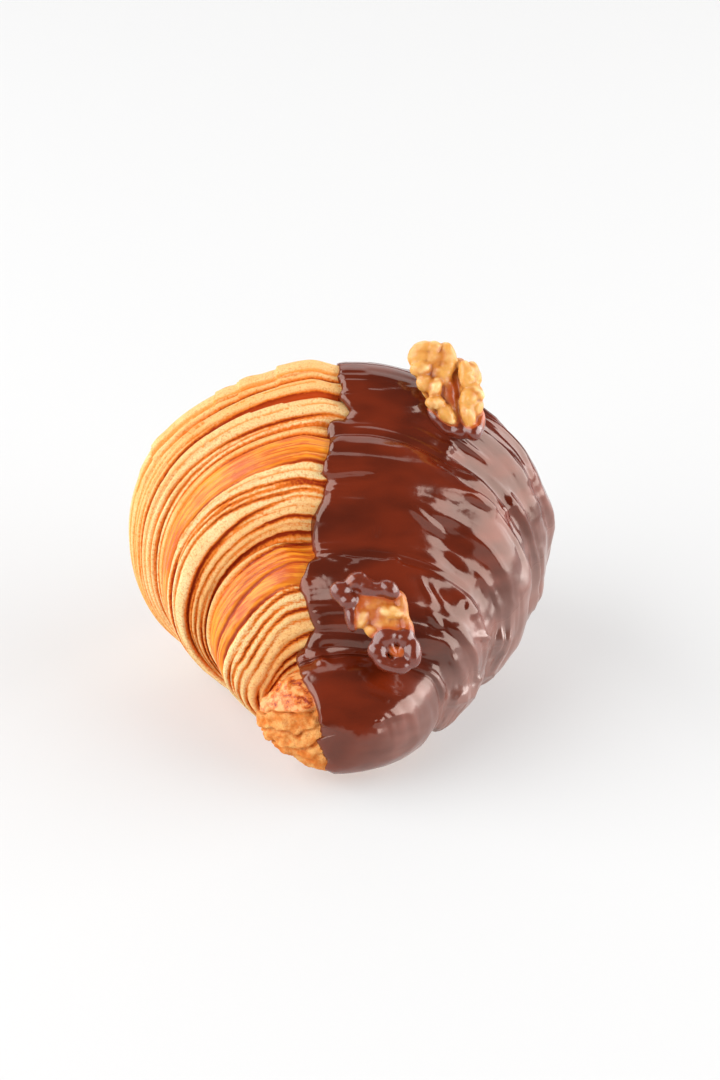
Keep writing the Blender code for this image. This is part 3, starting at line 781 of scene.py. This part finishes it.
RIM_SUNK = 0.25             # how far the very edge is pressed into the pastry
SHELL_DEPTH = 0.6           # how far the coat's inner side lies under the pastry's surface

# Drips, bubbles, pits and bumps of the chocolate, in pixels of the photograph: middle
# across and down, half length, half width, turn from level in degrees, height in mm.
DRIPS = ((334, 553, 15, 6, 14, 0.8), (394, 560, 6, 3, 12, 0.7), (449, 447, 6, 7, 0, 1.0),
         (377, 530, 3, 4, 90, 0.6), (380, 722, 4, 4, 0, 0.8), (318, 656, 11, 6, 35, 0.8),
         (503, 645, 8, 12, 0, 1.2), (488, 680, 7, 4, -20, 1.6), (461, 701, 8, 5, -60, 1.5),
         (521, 598, 5, 4, 60, -0.9), (487, 637, 8, 4, 10, 1.1), (512, 507, 5, 6, 0, 0.8),
         (496, 517, 4, 4, 0, 0.6), (430, 592, 15, 4, 58, 0.6), (444, 598, 16, 4, 55, 0.6),
         (438, 622, 16, 4, 60, 0.5), (466, 604, 4, 4, 0, -0.7), (455, 660, 16, 5, 70, 0.7),
         (374, 444, 26, 4, 4, 0.4), (352, 566, 8, 4, -15, 0.5), (352, 477, 26, 3, -3, -1.0),
         (352, 470, 28, 3, -3, 0.4), (478, 492, 40, 6, 42, 0.9), (430, 523, 22, 4, 40, 0.6))


def drip_height(points, normals):
    """Height of those marks at each point of a surface that faces the camera."""
    across, down = photo_pixels(points)
    facing = smooth((math.sin(RISE) * normals[..., 2] - math.cos(RISE) * normals[..., 1]) / 0.3)
    total = np.zeros_like(across)
    for middle, level, length, width, turn, height in DRIPS:
        turned = math.radians(turn)
        right, low = across - middle, down - level
        ahead = (right * math.cos(turned) + low * math.sin(turned)) / length
        beside = (low * math.cos(turned) - right * math.sin(turned)) / width
        total += height * np.exp(-(ahead ** 2 + beside ** 2) ** 1.5)
    return total * facing


def ball_height(radius, distance):
    """Height of a ball's surface over its middle, or none past its side."""
    left = radius ** 2 - distance ** 2
    return np.where(left > 0.0, np.sqrt(np.maximum(left, 0.0)), -np.inf)


def coated_rows(growth, pool, near_spacing, far_spacing):
    """The profile a set growth outside the plain one, with rounded corners between the
    wraps, from tip to tip: place, radius and the nearest row of the plain profile."""
    near, far = (half_line(stretch, FINE_SPACING, FINE_SPACING) for stretch in (1.0, FAR_STRETCH))
    near[:, 0] *= -1.0
    line = np.concatenate([near[::-1], far[1:]])
    reach = growth + pool
    places = np.linspace(line[0, 0] - reach, line[-1, 0] + reach, COAT_STEPS)
    wide = (line[:, 1] + ball_height(reach, line[:, 0] - places[:, None])).max(axis=1)
    wide = np.maximum(wide, 0.0)
    radii = (wide - ball_height(pool, places - places[:, None])).min(axis=1)
    kept = (radii > 0.02) & (places > line[0, 0] - growth) & (places < line[-1, 0] + growth)
    places, radii = places[kept], radii[kept]
    steps = np.hypot(np.diff(places), np.diff(radii))
    spacing = np.where(places[1:] < NEAR_END, near_spacing, far_spacing)
    count = np.concatenate([[0.0], np.cumsum(steps / spacing)])
    marks = np.arange(0.0, count[-1], 1.0)
    places, radii = np.interp(marks, count, places), np.interp(marks, count, radii)
    distance = (places[:, None] - line[:, 0]) ** 2 + (radii[:, None] - line[:, 1]) ** 2
    return places, radii, line[distance.argmin(axis=1)]


def soften(grid, reach):
    """Average a grid down its rows with a bell of the given reach in rows."""
    half = int(3 * reach)
    weights = np.exp(-0.5 * (np.arange(-half, half + 1) / reach) ** 2)
    weights /= weights.sum()
    padded = np.concatenate([grid[:1].repeat(half, 0), grid, grid[-1:].repeat(half, 0)])
    return sum(weight * padded[step:step + len(grid)] for step, weight in enumerate(weights))


def cut_shell(outer, inner, faces, inside):
    """Closed shell over the part of a grid where a value is above zero.  The edge
    runs where the value is zero, between the points of the grid."""
    points, lining, cuts = list(outer), list(inner), {}

    def crossing(*side):
        first, second = sorted(side)
        if (first, second) not in cuts:
            share = inside[first] / (inside[first] - inside[second])
            cuts[first, second] = len(points)
            points.append(blend(outer[first], outer[second], share))
            lining.append(blend(inner[first], inner[second], share))
        return cuts[first, second]

    above, kept = inside > 0.0, []
    for face in faces:
        corners = []
        for index, following in zip(face, face[1:] + face[:1]):
            if above[index]:
                corners.append(index)
            if above[index] != above[following]:
                corners.append(crossing(index, following))
        if corners:
            kept.append(tuple(corners))
    count = len(points)
    edges = dict.fromkeys(pair for face in kept for pair in zip(face, face[1:] + face[:1]))
    skins = kept + [tuple(count + index for index in reversed(face)) for face in kept]
    walls = [(second, first, count + first, count + second) for first, second in edges
             if (second, first) not in edges]
    used = sorted({index for face in skins + walls for index in face})
    renamed = {index: number for number, index in enumerate(used)}
    both = np.array(points + lining)
    return both[used], [tuple(renamed[index] for index in face) for face in skins + walls]


def coat_reach(under, over, lift, on_knob):
    """How far inside the chocolate's edge each point lies."""
    neck = bell(np.abs(under[..., 1]) - NECK_PLACE - 1.0, 4.0)
    low = COAT_CLEAR + NECK_CLEAR * neck
    inside = past_edge(under) + lumpy(under[..., 1:], (1.0, 4.2, 21), (0.35, 2.0, 22))
    inside = inside - 1.2 * np.where(on_knob, 0.0, lift)
    return np.minimum(inside, 1.2 * (over[..., 2] - low + 2.0 * lumps(over, 7.0, 23)))


def flank_flow(arc, around, under, flank, combed):
    """Ridges where the chocolate ran down its flank, with ripples and slow swells."""
    long_runs, short_runs = (np.stack(np.broadcast_arrays(arc / along, around / down), axis=-1)
                             for along, down in (LONG_RUNS, SHORT_RUNS))
    swing = arc / RIDGE_SPACING + RIDGE_SWING * lumps(long_runs, 1.0, 71)
    ridge = np.abs(np.sin(math.pi * swing)) * (0.65 + 0.45 * lumps(long_runs * 1.7, 1.0, 74))
    return (RIDGE_HEIGHT * combed * (ridge - 0.85) - 0.1 * flank
            + lumps(short_runs, 1.0, 73) * (0.04 + 0.1 * combed)
            + lumps(under, 6.0, 72) * (0.15 + 0.3 * flank - 0.2 * combed))


def corner_lips(rows, place, arc, theta):
    """Lip and fold where one coated wrap meets the next, and the notch low down there."""
    low_flank = fall(np.sin(theta), 0.35, 0.4)
    total = 0.0
    for corner in np.flatnonzero(np.diff(rows[:, 2])):
        beyond = (arc - arc[corner]) * -np.sign(place[corner])
        tuck = 0.8 + 0.3 * lumps(np.stack([theta, np.full_like(theta, corner)], -1), 0.35, 75)
        total = total + CORNER_LIP * (bell(beyond + 1.6, 0.5) - bell(beyond + 2.7, 0.7)) * tuck
        total = total - CORNER_NOTCH * bell(beyond, 2.2) * low_flank
    return total


def build_coat(finish):
    theta = ring_angles(COAT_ANGLES)
    upright = np.sin(theta)
    place, radius, rows = coated_rows(COAT_GROWTH, COAT_POOL, *COAT_SPACING)
    lift, lines = np.zeros((2, len(place), len(theta)))
    for side, seed in ((place < 0.0, NEAR_SEED), (place >= 0.0, FAR_SEED)):
        lift[side], lines[side] = relief(rows[side], theta, seed)[:2]
    arc = np.cumsum(np.hypot(np.gradient(place), np.gradient(radius)))[:, None]
    place, radius = place[:, None], radius[:, None]
    plain_place, plain_radius = rows[:, :1], rows[:, 1:2]
    on_knob = np.abs(plain_place) > NECK_PLACE
    lift = np.where(on_knob, -0.5, lift - RELIEF_SINK)
    soft_lift = soften(lift, 2.2)
    even = soften(rows[:, :2], 2.5)
    level = ramp(upright, 0.45, 0.4)
    flat_radius = radius - np.maximum(radius - CROWN_FLAT, 0.0) * level
    under = croissant_point(plain_place, plain_radius, theta)
    over = croissant_point(place, flat_radius, theta, (even[:, :1], even[:, 1:]))
    away = outward_normals(over)

    inside = coat_reach(under, over, soft_lift, on_knob)
    rim = RIM_ROUND * (0.5 + 0.8 * smooth(0.4 + lumps(under[..., 1:], 3.2, 25)))
    rounded = np.sqrt(1.0 - (1.0 - np.clip(inside / rim, 0.0, 1.0)) ** 2)
    flank = fall(upright, 0.96, 0.3) * ramp(inside, 8.0, 10.0)
    combed = flank * (1.0 - 0.75 * on_knob) * (1.0 - 0.5 * fall(upright, 0.1, 0.5))
    flow = flank_flow(arc, theta * np.maximum(plain_radius, 6.0), under, flank, combed)
    step = lines * ramp(lines, 0.8, 0.2) * bell(inside, 6.0) * (1.0 - on_knob)
    ridges = (0.08 * soft_lift + flow - STEP_DEPTH * step + drip_height(over, away)
              + corner_lips(rows, place, arc, theta))
    ridges = np.clip(ridges, LOWEST_RIDGE, 0.2 + 2.0 * level)
    thin = (0.6 + 0.25 * smooth(0.5 + lumps(under[..., 1:], 4.0, 24))
            + 0.2 * ramp(inside, 1.0, 12.0))
    fade = smooth(plain_radius / TIP_FADE)
    skin = under + away * ((np.maximum(lift, -0.6) - RIM_SUNK) * fade)[..., None]
    outer = blend(skin, over + away * (ridges * fade)[..., None],
                  (rounded * np.minimum(thin, 1.0))[..., None])
    outer[..., 2] = np.maximum(outer[..., 2], COAT_CLEAR - 0.1)
    bed = blend(lift, soft_lift, smooth(inside / 4.0)) * fade - SHELL_DEPTH
    inner = under + away * bed[..., None]

    outer, inner, inside = (
        np.concatenate([grid.reshape(-1, *grid.shape[2:]), grid[[0, -1]].mean(axis=1)])
        for grid in (outer, inner, inside))
    points, faces = cut_shell(outer, inner, closed_grid(len(place), len(theta)), inside)
    return mesh_piece("chocolate", points, faces, {}, finish)


# ------------------------ walnuts

# Folds of each kernel as they show in the photograph, in its pixels: middle across and
# down, half length, half width, turn of the length from level in degrees, then how far
# it stands towards the viewer in millimetres and how far chocolate covers it.
TOP_FOLDS = (
    (432, 364, 20, 16, 60, -0.8, 0.0), (434, 391, 24, 9, -66, -1.3, 0.0),
    (456, 398, 28, 12, -78, -2.4, 0.8), (471, 396, 30, 8, -80, -0.8, 0.0),
    (461, 424, 14, 9, -10, -2.0, 1.0),
    (421, 355, 14, 10, 55, -0.4, 0.0), (434, 356, 14, 8, 88, -0.2, 0.0),
    (446, 359, 15, 8, 96, -0.4, 0.0), (421, 369, 10, 6, 8, 0.4, 0.0),
    (440, 374, 13, 10, 80, -0.5, 0.0), (425, 383, 8, 7, 80, 0.4, 0.0),
    (435, 388, 10, 5, 75, 1.0, 0.0), (435, 403, 9, 5, 0, 1.2, 0.0),
    (446, 413, 13, 5, -52, 0.6, 0.0), (450, 399, 27, 7, -77, -1.2, 0.75),
    (466, 375, 13, 6, 98, 0.5, 0.0), (474, 374, 11, 5, -75, -0.9, 0.3),
    (457, 364, 7, 4, 20, -1.7, 0.6), (475, 391, 11, 5, -48, 0.3, 0.0),
    (468, 399, 10, 7, 75, 0.9, 0.0), (467, 413, 14, 5, -74, 0.7, 0.0),
    (477, 407, 9, 4, 80, -0.2, 0.0), (437, 419, 14, 4, -52, -1.2, 1.0),
    (460, 431, 10, 6, 0, -1.0, 1.0), (473, 432, 8, 6, -60, 0.2, 1.0),
    (480, 424, 13, 3, 82, -1.2, 1.0), (446, 428, 9, 5, -30, -1.6, 1.0),
)
FRONT_FOLDS = (
    (369, 598, 23, 15, -40, -1.0, 0.6), (385, 618, 22, 17, -60, -0.7, 0.4),
    (396, 648, 18, 16, 0, -1.9, 1.0),
    (362, 594, 22, 13, -35, -3.6, 1.0), (378, 604, 22, 16, -50, -4.6, 1.0),
    (362, 600, 16, 13, -40, -6.6, 1.0), (386, 626, 17, 13, -60, -3.6, 1.0),
    (340, 591, 9, 8, 60, 0.2, 1.0), (348, 601, 8, 5, 20, 0.5, 1.0),
    (356, 580, 10, 6, 32, 0.3, 0.72), (366, 586, 9, 6, -35, 0.4, 1.0),
    (378, 589, 8, 5, 0, 0.3, 1.0), (389, 589, 10, 6, -50, 0.7, 1.0),
    (358, 594, 7, 6, 0, -1.4, 0.9), (351, 616, 15, 4, -82, -0.3, 1.0),
    (359, 609, 10, 4, 80, -0.5, 0.65), (372, 606, 13, 7, 20, -0.6, 0.45),
    (391, 612, 13, 5, -12, 0.4, 0.0), (386, 627, 14, 5, -14, -0.2, 0.15),
    (362, 618, 10, 6, 68, -0.2, 0.1), (372, 631, 8, 4, -35, -0.2, 0.2),
    (402, 605, 14, 4, -75, -0.6, 0.4), (407, 625, 13, 4, -70, -0.4, 0.4),
    (380, 614, 17, 14, 0, -0.7, 0.5), (386, 637, 12, 7, 25, 0.7, 1.0),
    (377, 651, 9, 7, -60, 0.6, 1.0), (384, 663, 10, 5, -32, 0.5, 0.8),
    (399, 666, 11, 6, 6, 0.3, 1.0), (413, 652, 14, 6, -84, 0.4, 1.0),
    (404, 638, 8, 7, 0, 0.4, 0.9), (395, 652, 10, 9, 0, -1.7, 0.45),
    (401, 652, 7, 3, 60, 0.1, 0.5), (391, 648, 9, 2.5, -60, 0.6, 0.6),
)
TOP_SEAT = {"middle": (24.0, -7.0, 78.6), "up": (0.0, 0.438, 0.899), "pixel": (447.8, 392.6)}
FRONT_SEAT = {"middle": (6.1, -47.6, 37.9), "up": (0.0, 0.5, 0.866), "pixel": (373.4, 623.6)}
FOLD_DEPTH = 1.9     # half thickness of a fold
KERNEL_VOXEL = 0.29  # cells of the grid that merges the folds
SETTLE_ROUNDS = 14   # rounds of smoothing that leave the kernel's broad form


def fold_matrix(fold, seat, pixels):
    """Where a fold lies and how large it is, in millimetres, with the photograph's
    pixels to a millimetre there."""
    across, down, length, width, turn, proud, _ = fold
    length, width = 1.06 * length + 1.0, 1.12 * width + 1.6
    up = Vector(seat["up"]).normalized()
    right = Vector((1.0, 0.0, 0.0))
    frame_turn = Matrix((right, up, right.cross(up))).transposed().to_4x4()
    middle_across, middle_down = seat["pixel"]
    place = Vector(((across - middle_across) / pixels, (middle_down - down) / pixels, proud))
    depth = min(FOLD_DEPTH, 0.9 * width / pixels + 0.5)
    return (Matrix.Translation(Vector(seat["middle"])) @ frame_turn @ Matrix.Translation(place)
            @ Matrix.Rotation(math.radians(turn), 4, "Z")
            @ Matrix.Diagonal((length / pixels, width / pixels, depth, 1.0)))


def largest_shell(count, first, second):
    """Which points belong to the largest connected shell, from their links both ways."""
    label = np.arange(count)
    while True:
        lower = label.copy()
        np.minimum.at(lower, first, label[second])
        lower = lower[lower]
        if (lower == label).all():
            return label == np.bincount(label).argmax()
        label = lower


def merge_folds(name, placed):
    """One smooth mesh from balls stretched to the folds, merged by a voxel grid."""
    work = bmesh.new()
    for matrix in placed:
        ball = bmesh.ops.create_icosphere(work, subdivisions=3, radius=1.0)["verts"]
        bmesh.ops.transform(work, matrix=Matrix.Scale(MM, 4) @ matrix, verts=ball)
    rough = bpy.data.meshes.new(name)
    work.to_mesh(rough)
    work.free()
    raw = put_in_scene(name + "_raw", rough)
    merge = raw.modifiers.new("merge", "REMESH")
    merge.mode, merge.voxel_size = "VOXEL", KERNEL_VOXEL * MM
    even = raw.modifiers.new("even", "SMOOTH")
    even.factor, even.iterations = 0.5, 7
    graph = bpy.context.evaluated_depsgraph_get()
    merged = bpy.data.meshes.new_from_object(raw.evaluated_get(graph))
    bpy.data.objects.remove(raw, do_unlink=True)
    return merged


def mesh_numbers(items, field, width, kind=float):
    """One field of a mesh's points or edges as an array, a row for each."""
    numbers = np.empty(len(items) * width, kind)
    items.foreach_get(field, numbers)
    return numbers.reshape(-1, width)


def build_walnut(name, folds, seat, seed, finish):
    """Folds merged into one kernel, then wrinkled along their normals."""
    middle = Vector(seat["middle"]) - Vector((0.0, 0.0, AIM_HEIGHT))
    pixels = PIXELS_PER_MM * CAMERA_REACH / (CAMERA_REACH - middle.dot(TO_CAMERA))
    placed = [fold_matrix(fold, seat, pixels) for fold in folds]
    merged = merge_folds(name, placed)
    points = mesh_numbers(merged.vertices, "co", 3) / MM
    normals = mesh_numbers(merged.vertices, "normal", 3)
    links = mesh_numbers(merged.edges, "vertices", 2, int)
    first, second = np.concatenate([links, links[:, ::-1]]).T
    count = len(points)

    nearness = []
    for matrix in placed:
        turned = np.array(matrix.inverted())
        own = points @ turned[:3, :3].T + turned[:3, 3]
        nearness.append(np.exp(-1.6 * (own * own).sum(axis=1)) + 1e-9)
    nearness = np.array(nearness)
    covered = np.array([fold[-1] for fold in folds])[:, None]
    dipped = (nearness * covered).sum(axis=0) / nearness.sum(axis=0)
    wrinkle = np.abs(lumps(points, 2.7, seed)) * 0.38 + lumps(points, 1.1, seed + 1) * 0.1
    dripped = smooth(dipped * 1.4 - 0.3)
    wrinkle = blend(wrinkle, 0.2, dripped)
    points = points + normals * (wrinkle - 0.1)[:, None]
    settled = points.copy()
    neighbours = np.bincount(first, minlength=count)[:, None]
    for _ in range(SETTLE_ROUNDS):
        total = np.zeros_like(settled)
        np.add.at(total, first, settled[second])
        settled = total / neighbours
    rise = np.einsum("ij,ij->i", points - settled, normals)
    points = blend(points, settled + normals * 0.2, 0.8 * dripped[:, None])

    kept = largest_shell(count, first, second)
    number = np.cumsum(kept) - 1
    faces = [tuple(int(number[point]) for point in polygon.vertices)
             for polygon in merged.polygons if kept[polygon.vertices[0]]]
    # hollow and crest, where the kernel dips in and stands out, carry painted shade and painted
    # highlight.
    values = {"hollow": smooth(-rise / 0.3)[kept], "crest": smooth(rise / 0.25)[kept],
              "dipped": dipped[kept]}
    return mesh_piece(name, points[kept], faces, values, finish)


# ------------------------ scene

FLOOR_SIZE = 6.0  # metres, as the places and sizes of the soft boxes are
ROOM_LIGHT = 0.115
SOFT_BOXES = (    # name, place, aim, size, power and colour
    ("left_panel", (-1.0, -0.25, 0.66), (0.0, 0.0, 0.03), (2.2, 1.3), 30.0, WHITE),
    ("right_panel", (1.0, -0.1, 0.42), (0.0, 0.0, 0.35), (1.9, 0.84), 22.0, (1.0, 0.99, 0.98)),
    ("backdrop", (0.0, 1.4, 1.35), (0.0, 0.0, 0.1), (2.0, 2.2), 19.0, WHITE),
)


def set_camera():
    data = bpy.data.cameras.new("camera")
    data.sensor_width = SENSOR_WIDTH
    data.lens = SENSOR_WIDTH * PIXELS_PER_MM * CAMERA_REACH / PHOTO_HEIGHT
    data.shift_x = (PHOTO_WIDTH / 2 - AIM_PIXEL[0]) / PHOTO_HEIGHT
    data.shift_y = (AIM_PIXEL[1] - PHOTO_HEIGHT / 2) / PHOTO_HEIGHT
    data.clip_start, data.clip_end = 0.01, 20.0
    camera = put_in_scene("camera", data)
    camera.location = (Vector((0.0, 0.0, AIM_HEIGHT)) + TO_CAMERA * CAMERA_REACH) * MM
    camera.rotation_euler = (-TO_CAMERA).to_track_quat("-Z", "Y").to_euler()
    bpy.context.scene.camera = camera


def soft_box(name, place, aim, size, power, colour):
    data = bpy.data.lights.new(name, "AREA")
    data.shape = "RECTANGLE"
    data.size, data.size_y = size
    data.energy, data.color = power, colour
    lamp = put_in_scene(name, data)
    lamp.location = place
    lamp.rotation_euler = (Vector(aim) - Vector(place)).to_track_quat("-Z", "Y").to_euler()


def set_stage():
    bpy.ops.mesh.primitive_plane_add(size=FLOOR_SIZE)
    floor = bpy.context.object
    floor.name = "floor"
    floor.data.materials.append(floor_finish())
    world = bpy.data.worlds.new("studio")
    world.use_nodes = True
    sky = world.node_tree.nodes["Background"]
    sky.inputs["Color"].default_value = (*WHITE, 1.0)
    sky.inputs["Strength"].default_value = ROOM_LIGHT
    bpy.context.scene.world = world
    for box in SOFT_BOXES:
        soft_box(*box)
    bpy.context.scene.view_settings.view_transform = "Standard"


set_camera()
set_stage()

pastry = build_pastry(pastry_finish())
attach(pastry, "root")
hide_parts("croissant")

coat = build_coat(chocolate_finish())
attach(coat, "root")
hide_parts("chocolate_coat")

nut_finish = walnut_finish()
for node, folds, seat, seed in (("walnut_top", TOP_FOLDS, TOP_SEAT, 31),
                                ("walnut_front", FRONT_FOLDS, FRONT_SEAT, 37)):
    kernel = build_walnut(node + "_kernel", folds, seat, seed, nut_finish)
    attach(kernel, "root")
    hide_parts(node)
